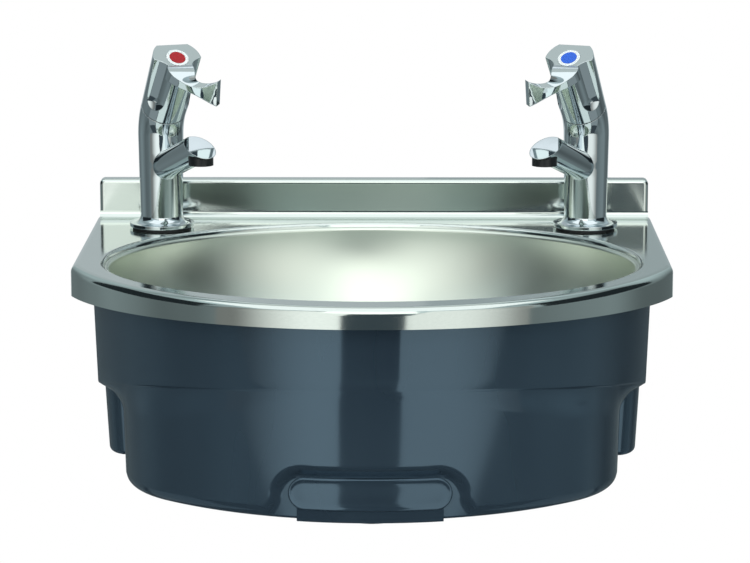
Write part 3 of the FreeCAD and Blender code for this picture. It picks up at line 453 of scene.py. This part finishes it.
def apron_profile(u):
    """One column of the apron's outer face, from under the deck to the turned-in foot."""
    low = ledge_z(band_point(u, LEDGE_SOUNDING)[1])
    column = [(*band_point(u, z), z) for z in steps(TOP, low + BAND_EDGE, BAND_ROWS)]
    bx, by = band_point(u, low)
    cove = cove_drop(u)
    lx, ly = lower_point(u, low - cove)
    width = math.hypot(bx - lx, by - ly)
    inx, iny = (lx - bx) / width, (ly - by) / width
    ease = min(BAND_EDGE, width * EDGE_SHARE)
    for move, rise in quarter_round(BAND_EDGE, EDGE_ROWS):
        s = ease * move
        column.append((bx + inx * s, by + iny * s, low + rise))
    for t in steps(0.0, 1.0, COVE_ROWS)[1:]:
        s = ease + (width - ease) * eased(t)
        column.append((bx + inx * s, by + iny * s, low - cove * t))
    foot = foot_z(u)
    foot_r = foot_round(u)
    for z in steps(low - cove, foot + foot_r, WALL_ROWS)[1:]:
        column.append((*lower_point(u, z), z))
    fx, fy = lower_point(u, foot)
    ahead = lower_point(min(u + NUDGE, FRONT), foot)
    behind = lower_point(max(u - NUDGE, 0.0), foot)
    tx, ty = ahead[0] - behind[0], ahead[1] - behind[1]
    size = math.hypot(tx, ty)
    inx, iny = -ty / size, tx / size
    for move, rise in quarter_round(foot_r, FOOT_ROWS):
        s = foot_r * move
        column.append((fx + inx * s, fy + iny * s, foot + rise))
    for further in FOOT_RETURN:
        s = foot_r + further
        column.append((fx + inx * s, fy + iny * s, foot))
    return column


def make_apron():
    """The apron's moulding: the left half's columns, mirrored."""
    left = [[recessed(*p) for p in apron_profile(u)] for u in apron_columns()]
    right = [[(-x, y, z) for x, y, z in column] for column in reversed(left[:-1])]
    columns = left + right
    rows = len(columns[0])
    points = [p for column in columns for p in column]
    faces = []
    for c in range(len(columns) - 1):
        for r in range(rows - 1):
            a = c * rows + r
            faces.append((a, a + 1, a + rows + 1, a + rows))
    obj = piece("apron_moulding", points, faces, FINISH["slate_plastic"], "basin",
                sharp=50.0)
    thicken(obj, "wall", APRON_WALL)
    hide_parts("apron")


make_apron()


# Clip plate: a bare round-ended plate with a low bead round it, and the tab under it

PLATE_HALF = 51.0
PLATE_ROUND = 10.25          # half the plate's height
PLATE_RISE = 7.1             # from the foot up to the plate's lower edge
PLATE_MID = BELLY_FOOT + PLATE_RISE + PLATE_ROUND
PLATE_SINK = 0.1             # how far the plate's back lies in the recess's floor
PLATE_BACK = -ARCH_DEPTH - PLATE_SINK
# each ring's distance in from the edge, and out from the belly's face: up the edge, over the bead, inwards
PLATE_RINGS = ((0.0, PLATE_BACK), (0.0, -0.5), (0.15, -0.2), (0.5, 0.06), (1.0, 0.15), (1.6, 0.08),
               (2.2, -0.06), (2.9, -0.12), (5.5, -0.1), (8.0, -0.06), (PLATE_ROUND, -0.05))
PLATE_END_STEPS = 24
PLATE_SIDE_STEPS = 12
TAB_HALF = 45.5
TAB_COLUMNS = 36
TAB_LOW = BELLY_FOOT - 0.4   # the tab reaches a little below the foot
TAB_FACE = -0.85             # the tab's face, out from the belly's
# section of the tab: height, and distance out from the belly's face, with an eased lower edge
TAB_SECTION = ((PLATE_MID, PLATE_BACK), (PLATE_MID, TAB_FACE), (TAB_LOW + 0.7, TAB_FACE),
               (TAB_LOW + 0.2, -0.95), (TAB_LOW, -1.2), (TAB_LOW, PLATE_BACK))


def on_belly(s, z, out):
    """A point on the belly's front: distance round it, height, and distance out from its face."""
    radius = belly_radius(z)
    angle = s / radius
    return (radius + out) * math.sin(angle), BELLY_Y - (radius + out) * math.cos(angle), z


def plate_outline(inset):
    """Round-ended outline of the plate, drawn in by an inset."""
    r = PLATE_ROUND - inset
    flat = PLATE_HALF - PLATE_ROUND
    line = []
    for end, first in ((1, -90), (-1, 90)):
        for k in range(PLATE_END_STEPS + 1):
            a = math.radians(first + 180 * k / PLATE_END_STEPS)
            line.append((end * flat + r * math.cos(a), PLATE_MID + r * math.sin(a)))
        for t in steps(0, 1, PLATE_SIDE_STEPS)[1:-1]:
            line.append((end * flat * (1 - 2 * t), PLATE_MID + end * r))
    return line


def make_clip_plate():
    """The plate as rings drawn inwards to its middle line, and the tab as a bent slab with closed ends."""
    points = []
    faces = []
    for inset, out in PLATE_RINGS:
        ring = plate_outline(inset)
        base = len(points)
        points += [on_belly(s, z, out) for s, z in ring]
        count = len(ring)
        if base:
            for k in range(count):
                n = (k + 1) % count
                faces.append((base - count + k, base - count + n, base + n, base + k))
    base = len(points)
    for s in steps(-TAB_HALF, TAB_HALF, TAB_COLUMNS):
        points += [on_belly(s, z, out) for z, out in TAB_SECTION]
    n = len(TAB_SECTION)
    for c in range(TAB_COLUMNS):
        for k in range(n):
            a = base + c * n + k
            b = base + c * n + (k + 1) % n
            faces.append((b, a, a + n, b + n))
    faces.append(tuple(range(base, base + n)))
    faces.append(tuple(reversed(range(len(points) - n, len(points)))))
    obj = piece("clip_plate_bare", points, faces, FINISH["slate_plastic"], "basin",
                sharp=35.0)
    obj.modifiers.new("weld", "WELD").merge_threshold = 0.01 * MM
    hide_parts("clip_plate")


make_clip_plate()


# Bowl: one smooth oval pressing, rolled over tightly under the deck's lip

BOWL_HALF_WIDTH = 172.0
BOWL_HALF_DEPTH = 139.5
BOWL_Y = -168.5
BOWL_TOP = -3.0              # where the deck's lip turns upright
BOWL_GAP = 0.05              # from the bowl's edge to the deck's lip
BOWL_LEDGE = 0.4
BOWL_ROLL = 2.4
BOWL_WALL = ((152.2, -56.0), (113.5, -100.8), (40.0, -112.0))    # half width and height down the wall
BOWL_WALL_START = (-3.0, -54.0)  # direction of the wall below the roll
BOWL_WALL_END = (-80.0, 0.0)     # and where it meets the flat seat of the waste
BOWL_SHEET = 1.0
BOWL_COLUMNS = 240
ROLL_STEPS = 10
WALL_STEPS = 24
WASTE_HOLE = 22.5


def smooth_curve(points, first, last, count):
    """Points along a smooth curve through the given ones, with its directions at both ends."""
    ends = [first] + [((c[0] - a[0]) / 2, (c[1] - a[1]) / 2) for a, c in zip(points, points[2:])] + [last]
    line = [points[0]]
    for a, b, da, db in zip(points, points[1:], ends, ends[1:]):
        for t in steps(0.0, 1.0, count)[1:]:
            h = eased(t)
            ga, gb = t * (1 - t) ** 2, t * t * (t - 1)
            line.append(tuple(a[i] * (1 - h) + b[i] * h + ga * da[i] + gb * db[i] for i in (0, 1)))
    return line


def oval(half_width, half_depth, z):
    """A ring of points round the bowl's middle."""
    turns = [math.radians(360 * k / BOWL_COLUMNS) for k in range(BOWL_COLUMNS)]
    return [(half_width * math.cos(a), BOWL_Y + half_depth * math.sin(a), z) for a in turns]


def make_bowl():
    """The pressing as rings: edge, roll, wall, flat seat, and the round hole of the waste."""
    edge = BOWL_HALF_WIDTH - BOWL_GAP
    roll_x = edge - BOWL_LEDGE
    profile = [(edge, BOWL_TOP)]
    for a in steps(0.0, 90.0, ROLL_STEPS):
        turn = math.radians(a)
        profile.append((roll_x - BOWL_ROLL * math.sin(turn), BOWL_TOP - BOWL_ROLL * (1 - math.cos(turn))))
    profile += smooth_curve([profile[-1], *BOWL_WALL], BOWL_WALL_START, BOWL_WALL_END, WALL_STEPS)[1:]
    squeeze = BOWL_HALF_DEPTH / BOWL_HALF_WIDTH
    points = []
    for half, z in profile:
        points += oval(half, half * squeeze, z)
    points += oval(WASTE_HOLE, WASTE_HOLE, profile[-1][1])
    faces = []
    for row in range(len(profile)):
        a = row * BOWL_COLUMNS
        b = a + BOWL_COLUMNS
        for k in range(BOWL_COLUMNS):
            n = (k + 1) % BOWL_COLUMNS
            faces.append((a + k, a + n, b + n, b + k))
    obj = piece("bowl_pressing", points, faces, BOWL_STEEL, "basin", sharp=60.0)
    thicken(obj, "sheet", BOWL_SHEET)
    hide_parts("bowl")


make_bowl()


# Stage, light and camera, in metres

MIDDLE = Vector((0.0, -0.16, 0.02))    # what the lamps point at
FLOOR_Z = -0.80
FLOOR_HALF = 4.0
FLOOR_BACK = 1.5
FLOOR_WHITE = 0.9            # how far the camera sees the floor as plain white
FADE_FIRST, FADE_LAST = 0.22, 0.82     # where a panel's glow starts and stops fading, along its width
ROOM_LOW = 0.26              # strength of the room's light from below and from above
ROOM_HIGH = 0.74
ROOM_FIRST, ROOM_LAST = -0.4, 0.9      # heights between which it rises
CLOUD_SCALE = 1.6            # unevenness of the room
CLOUD_LOW, CLOUD_HIGH = 0.45, 1.55
PHOTO_WIDTH = 750            # in pixels, as is the focal length
FOCAL_LENGTH = 3266.4
SENSOR = 36.0
EYE = (17.1, -2238.5, 378.6)           # in millimetres, from the rim
EYE_TILT = 10.755            # degrees down from level
EYE_TURN = 0.42              # degrees towards the left


def quad(name, corners, finish):
    """One flat four-sided face."""
    mesh = bpy.data.meshes.new(name)
    mesh.from_pydata(corners, [], [(0, 1, 2, 3)])
    mesh.materials.append(finish)
    return link(name, mesh)


def paper_floor():
    """Pale studio floor, seen as white and lit like paper, so that it still takes the basin's shadow."""
    made, tree = blank("white_paper")
    paper = add(tree, "ShaderNodeBsdfDiffuse", {"Color": colour("#F0F0EE")})
    white = add(tree, "ShaderNodeEmission", {"Color": WHITE, "Strength": 1.0})
    path = add(tree, "ShaderNodeLightPath")
    seen = add(tree, "ShaderNodeMapRange", {"Value": path.outputs["Is Camera Ray"], "To Max": FLOOR_WHITE})
    mix = add(tree, "ShaderNodeMixShader", {0: seen.outputs[0], 1: paper.outputs[0], 2: white.outputs[0]})
    add(tree, "ShaderNodeOutputMaterial", {"Surface": mix.outputs[0]})
    obj = quad("floor", [(-FLOOR_HALF, -FLOOR_HALF, 0), (FLOOR_HALF, -FLOOR_HALF, 0),
                         (FLOOR_HALF, FLOOR_BACK, 0), (-FLOOR_HALF, FLOOR_BACK, 0)], made)
    obj.location = (0, 0, FLOOR_Z)
    obj.visible_glossy = False


def panel(name, corner, across, up, code, glow, far=None):
    """A studio wall or lamp face that only mirrors see: one corner and its two edges.

    Its glow may fade along X to another strength at the far edge.
    """
    made, tree = blank(name)
    light = add(tree, "ShaderNodeEmission", {"Color": colour(code), "Strength": glow})
    if far is not None:
        where = add(tree, "ShaderNodeTexCoord").outputs["Generated"]
        along = add(tree, "ShaderNodeSeparateXYZ", {"Vector": where}).outputs["X"]
        tree.links.new(ramp(tree, along, FADE_FIRST, FADE_LAST, glow, far), light.inputs["Strength"])
    add(tree, "ShaderNodeOutputMaterial", {"Surface": light.outputs[0]})
    a, b, c = Vector(corner), Vector(across), Vector(up)
    obj = quad(name, [a, a + b, a + b + c, a + c], made)
    obj.visible_camera = False
    obj.visible_diffuse = False
    obj.visible_shadow = False


def lamp(name, where, size, watts):
    """An oblong lamp pointed at the basin, which mirrors don't see."""
    data = bpy.data.lights.new(name, "AREA")
    data.shape = "RECTANGLE"
    data.size, data.size_y = size
    data.energy = watts
    obj = link(name, data)
    obj.location = where
    obj.rotation_euler = (MIDDLE - Vector(where)).to_track_quat("-Z", "Y").to_euler()
    obj.visible_glossy = False


def surroundings():
    """White to the camera; to mirrors an uneven grey room, lighter above, which also gives fill light."""
    world = bpy.data.worlds.new("studio")
    bpy.context.scene.world = world
    world.use_nodes = True
    tree = world.node_tree
    tree.nodes.clear()
    by_camera = add(tree, "ShaderNodeLightPath").outputs["Is Camera Ray"]
    where = add(tree, "ShaderNodeTexCoord").outputs["Generated"]
    height = add(tree, "ShaderNodeSeparateXYZ", {"Vector": where}).outputs["Z"]
    rise = ramp(tree, height, ROOM_FIRST, ROOM_LAST, ROOM_LOW, ROOM_HIGH)
    cloud = add(tree, "ShaderNodeTexNoise", {"Vector": where, "Scale": CLOUD_SCALE, "Detail": 1.0})
    uneven = spread(tree, cloud.outputs["Fac"], CLOUD_LOW, CLOUD_HIGH)
    room = add(tree, "ShaderNodeMath", {0: rise, 1: uneven}, operation="MULTIPLY")
    seen = add(tree, "ShaderNodeMapRange", {"Value": by_camera, "To Min": room.outputs[0], "To Max": 1.0})
    tone = blend(tree, by_camera, colour("#D2E6EA"), WHITE)
    sky = add(tree, "ShaderNodeBackground", {"Color": tone, "Strength": seen.outputs[0]})
    add(tree, "ShaderNodeOutputWorld", {"Surface": sky.outputs[0]})


def photo_camera():
    """The camera that took the photograph, as fitted to its outlines."""
    data = bpy.data.cameras.new("camera")
    data.sensor_width = SENSOR
    data.lens = FOCAL_LENGTH / PHOTO_WIDTH * SENSOR
    data.clip_start = 0.05
    obj = link("camera", data)
    obj.location = place(*EYE)
    obj.rotation_euler = (math.radians(90 - EYE_TILT), 0, math.radians(EYE_TURN))
    bpy.context.scene.camera = obj


paper_floor()
surroundings()
lamp("left_lamp", (-0.85, -1.84, 0.6), (0.9, 1.6), 15)
lamp("right_lamp", (1.0, -1.84, 0.6), (1.0, 1.6), 13)
lamp("top_lamp", (0.0, -0.9, 1.8), (1.4, 1.0), 16)
# in front: two softboxes with a dark gap between them, which the apron and the skirt mirror
panel("left_softbox", (-2.6, -1.84, -0.7), (2.228, 0, 0), (0.29, 0, 2.1), "#F8FCF8", 0.25, 1.30)
panel("right_softbox", (0.263, -1.84, -0.7), (2.4, 0, 0), (0.45, 0, 2.1), "#F8FCF8", 1.15, 0.36)
panel("dark_room", (-0.6, -2.9, -0.8), (1.2, 0, 0), (0, 0, 1.5), "#A9C4D4", 0.13)
panel("dark_table", (-1.5, -2.5, -0.78), (3.0, 0, 0), (0, 3.0, 0), "#9DB2BE", 0.16)
# above the front: what the bowl mirrors
panel("top_softbox", (-0.5, -1.87, 0.50), (1.0, 0, 0), (0, 0.22, 1.06), "#FBFFFA", 1.7)
panel("front_ceiling", (-1.5, -1.65, 1.56), (3.0, 0, 0), (0, 1.85, 0.50), "#F8FEFF", 1.35)
# at the sides and behind: what the deck and the taps mirror
panel("left_dark_wall", (-2.0, -1.2, -0.05), (0, 2.2, 0), (0, 0, 1.6), "#8FA6B2", 0.06)
panel("right_dark_wall", (2.0, -1.2, -0.05), (0, 2.2, 0), (0, 0, 1.6), "#8FA6B2", 0.06)
panel("left_backdrop", (-1.0, 1.6, -0.4), (1.05, 0, 0), (0, 0, 2.2), "#E4F0F4", 0.62)
panel("right_backdrop", (0.05, 1.6, -0.4), (1.0, 0, 0), (0, 0, 2.2), "#D4E4E8", 0.55)
panel("back_softbox", (-0.8, 1.6, 1.8), (1.6, 0, 0), (0, 0, 0.45), "#F4FBFF", 1.15)
panel("back_ceiling", (-0.8, 0.25, 2.3), (1.6, 0, 0), (0, 1.2, 0), "#EAF4F2", 0.78)
panel("left_table", (-1.5, -0.6, -0.77), (1.0, 0, 0), (0, 0.9, 0), "#D4E4E8", 0.42)
panel("right_table", (0.5, -0.6, -0.77), (1.0, 0, 0), (0, 0.9, 0), "#D4E4E8", 0.42)
photo_camera()
bpy.context.scene.view_settings.view_transform = "Standard"
